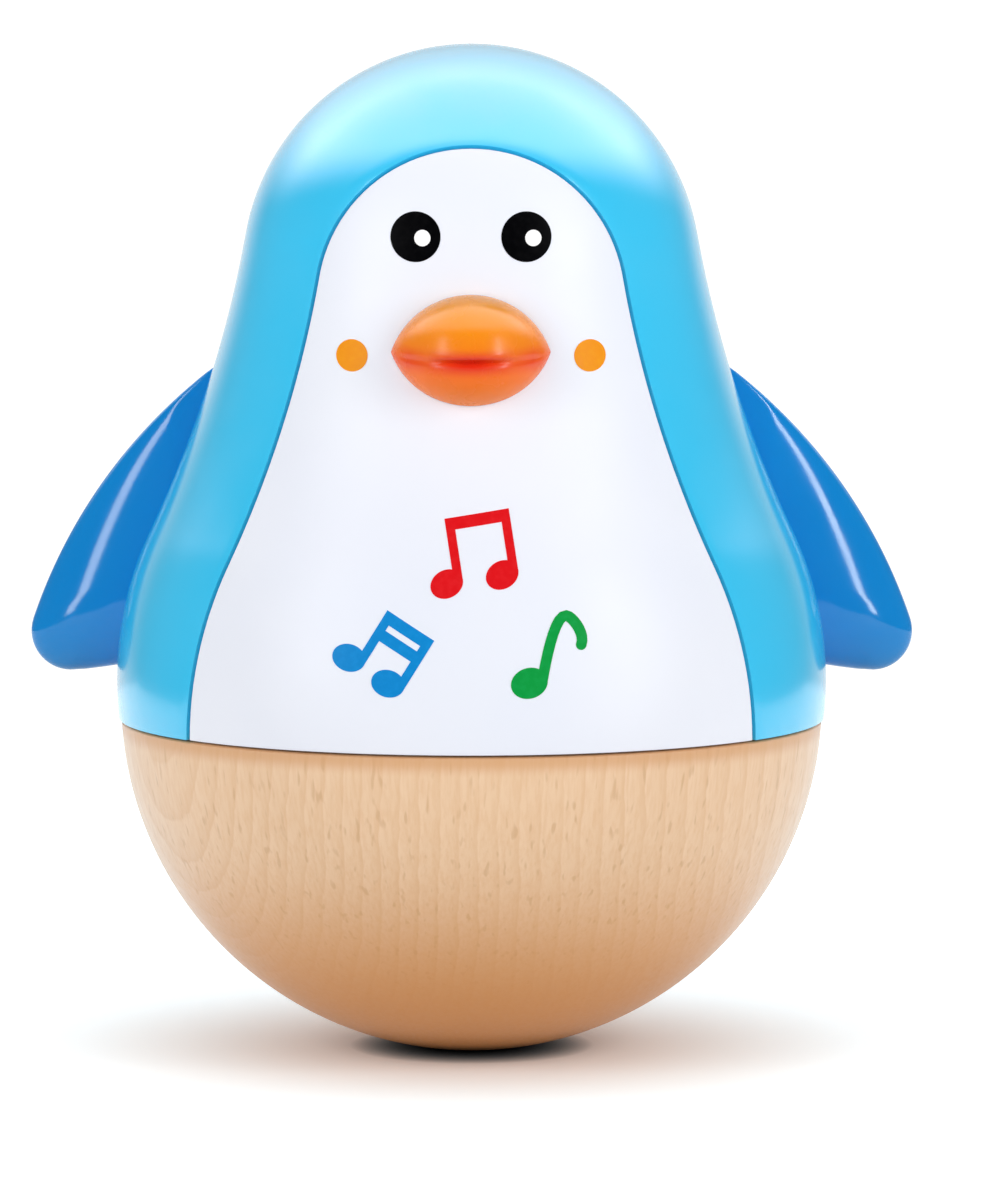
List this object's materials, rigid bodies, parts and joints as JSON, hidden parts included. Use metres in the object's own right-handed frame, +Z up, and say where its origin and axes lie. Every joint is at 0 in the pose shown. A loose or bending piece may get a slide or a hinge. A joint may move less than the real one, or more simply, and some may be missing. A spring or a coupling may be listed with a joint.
{
  "type": "roly poly toy",
  "caption": "Penguin roly poly toy: a weighted round wooden bowl under a hollow plastic hood and front panel, with fins, a beak and a chime with a swinging striker inside.",
  "frame": {"origin": "the point where the round wooden base touches the floor, under the middle of the toy", "axes": "+Z up through the crown, -Y the way the face looks, +X towards the toy's left fin"},
  "size_m": [0.113, 0.09, 0.1275],
  "materials": {
    "beech": "satin",
    "hood_blue": "gloss",
    "panel_white": "gloss",
    "flipper_blue": "gloss",
    "beak_orange": "gloss",
    "chassis_grey": "matte",
    "cast_iron": "matte",
    "rod_steel": "polished",
    "strip_steel": "satin",
    "screw_steel": "satin"
  },
  "bodies": {
    "body": {"wooden_base": "beech", "ballast_weight": "cast_iron", "ballast_screws": "screw_steel", "chassis_plate": "chassis_grey", "chassis_screws": "screw_steel", "hood_shell": "hood_blue", "front_panel": "panel_white", "left_flipper": "flipper_blue", "right_flipper": "flipper_blue", "flipper_screws": "screw_steel", "beak": "beak_orange", "beak_screw": "screw_steel", "chime_block": "cast_iron", "chime_block_screws": "screw_steel", "striker_gantry": "strip_steel", "gantry_screws": "screw_steel", "hanger_pin": "rod_steel", "chime_rod_1": "rod_steel", "chime_rod_2": "rod_steel", "chime_rod_3": "rod_steel", "chime_rod_4": "rod_steel", "chime_rod_5": "rod_steel", "chime_rod_6": "rod_steel", "chime_rod_7": "rod_steel", "chime_rod_8": "rod_steel"},
    "hanger": {"hanger_link": "strip_steel"},
    "striker": {"striker_stem": "strip_steel", "striker_pin": "rod_steel", "striker_head": "beech"}
  },
  "joints": [
    {"name": "link_swing", "type": "hinge", "parent": "body", "child": "hanger", "pos_m": [0, 0, 0.1009], "axis": [1, 0, 0], "range_deg": [-10, 10]},
    {"name": "striker_swing", "type": "hinge", "parent": "hanger", "child": "striker", "pos_m": [0, 0, 0.0939], "axis": [0, 1, 0], "range_deg": [-13, 13]}
  ]
}
